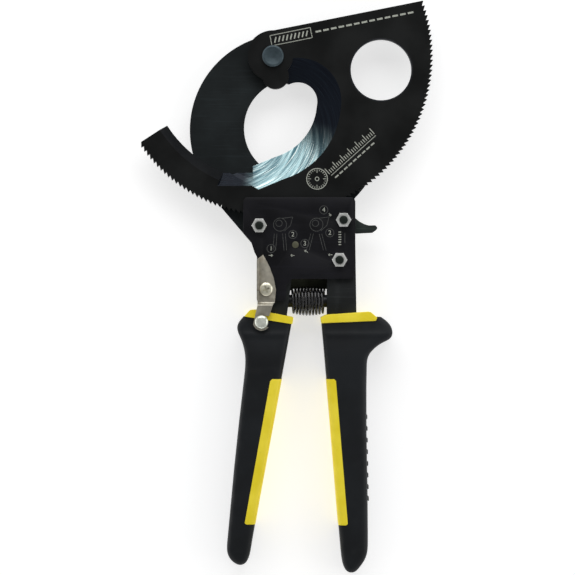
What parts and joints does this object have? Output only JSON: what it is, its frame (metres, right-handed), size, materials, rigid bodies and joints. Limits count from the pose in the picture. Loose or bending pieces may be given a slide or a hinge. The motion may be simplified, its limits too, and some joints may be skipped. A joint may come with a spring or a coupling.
{
  "type": "ratcheting cable cutter",
  "caption": "Ratcheting cable cutter with hooked fixed blade, toothed swinging blade, two-plate frame, sprung grips and closing latch.",
  "frame": {"origin": "on the main pivot's axis, at the face that the tool lies on", "axes": "+Z out of the tool's front face, +Y from the grips towards the blades, +X to the right seen from the front"},
  "size_m": [0.175, 0.3433, 0.0267],
  "materials": {
    "blade_black": "satin black oxide, ground bevel",
    "jaw_black": "satin black oxide",
    "plate_black": "satin black coating",
    "tang_steel": "satin dark steel",
    "pivot_steel": "turned, blued",
    "zinc": "bright zinc plate",
    "hardened_pin": "olive tinted steel",
    "spring_black": "glossy black",
    "latch_steel": "pressed, nickel plated",
    "lever_grey": "satin",
    "grip_black": "fine texture",
    "insert_yellow": "soft satin"
  },
  "bodies": {
    "frame": {"front_plate": "plate_black", "rear_plate": "plate_black", "fixed_blade": "jaw_black", "pivot_bolt": "pivot_steel", "pivot_nut": "pivot_steel", "pivot_washer": "pivot_steel", "frame_bolts": "zinc", "frame_nuts": "zinc", "frame_bushes": "tang_steel", "tang_dowel": "hardened_pin", "fixed_tang": "tang_steel", "fixed_grip": "grip_black", "fixed_collar": "insert_yellow", "fixed_insert": "insert_yellow", "grip_ribs": "grip_black", "handle_pivot_pin": "hardened_pin", "handle_spring": "spring_black", "spring_seat_fixed": "tang_steel", "latch_screw": "latch_steel"},
    "blade": {"moving_blade": "blade_black"},
    "handle": {"moving_tang": "tang_steel", "moving_grip": "grip_black", "moving_collar": "insert_yellow", "moving_insert": "insert_yellow", "spring_seat_moving": "tang_steel", "drive_pawl_pin": "hardened_pin", "drive_pawl_spring": "zinc", "latch_stud": "zinc"},
    "pawl": {"drive_pawl": "tang_steel"},
    "lever": {"release_lever": "lever_grey", "release_lever_spring": "zinc"},
    "latch": {"latch_lever": "latch_steel"}
  },
  "joints": [
    {"name": "blade_swing", "type": "hinge", "parent": "frame", "child": "blade", "pos_m": [0, 0, 0.0153], "axis": [0, 0, 1], "range_deg": [-45, 149.4]},
    {"name": "handle_swing", "type": "hinge", "parent": "frame", "child": "handle", "pos_m": [0.0134, -0.113, 0.0122], "axis": [0, 0, 1], "range_deg": [-20, 0], "deforming": ["handle_spring", "drive_pawl_spring"]},
    {"name": "drive_pawl_turn", "type": "hinge", "parent": "handle", "child": "pawl", "pos_m": [0.0107, -0.1044, 0.0168], "axis": [0, 0, 1], "range_deg": [0, 22]},
    {"name": "release_lever_turn", "type": "hinge", "parent": "frame", "child": "lever", "pos_m": [0.0422, -0.0982, 0.0146], "axis": [0, 0, 1], "range_deg": [0, 12], "stiffness_Nm_per_rad": 0.2},
    {"name": "latch_turn", "type": "hinge", "parent": "frame", "child": "latch", "pos_m": [-0.0041, -0.1396, 0.0225], "axis": [0, 0, 1], "range_deg": [-60, 0]}
  ],
  "couplings": [
    {"joint": "drive_pawl_turn", "follows": "handle_swing", "ratio": -1.1},
    {"joint": "latch_turn", "follows": "handle_swing", "ratio": 3}
  ]
}
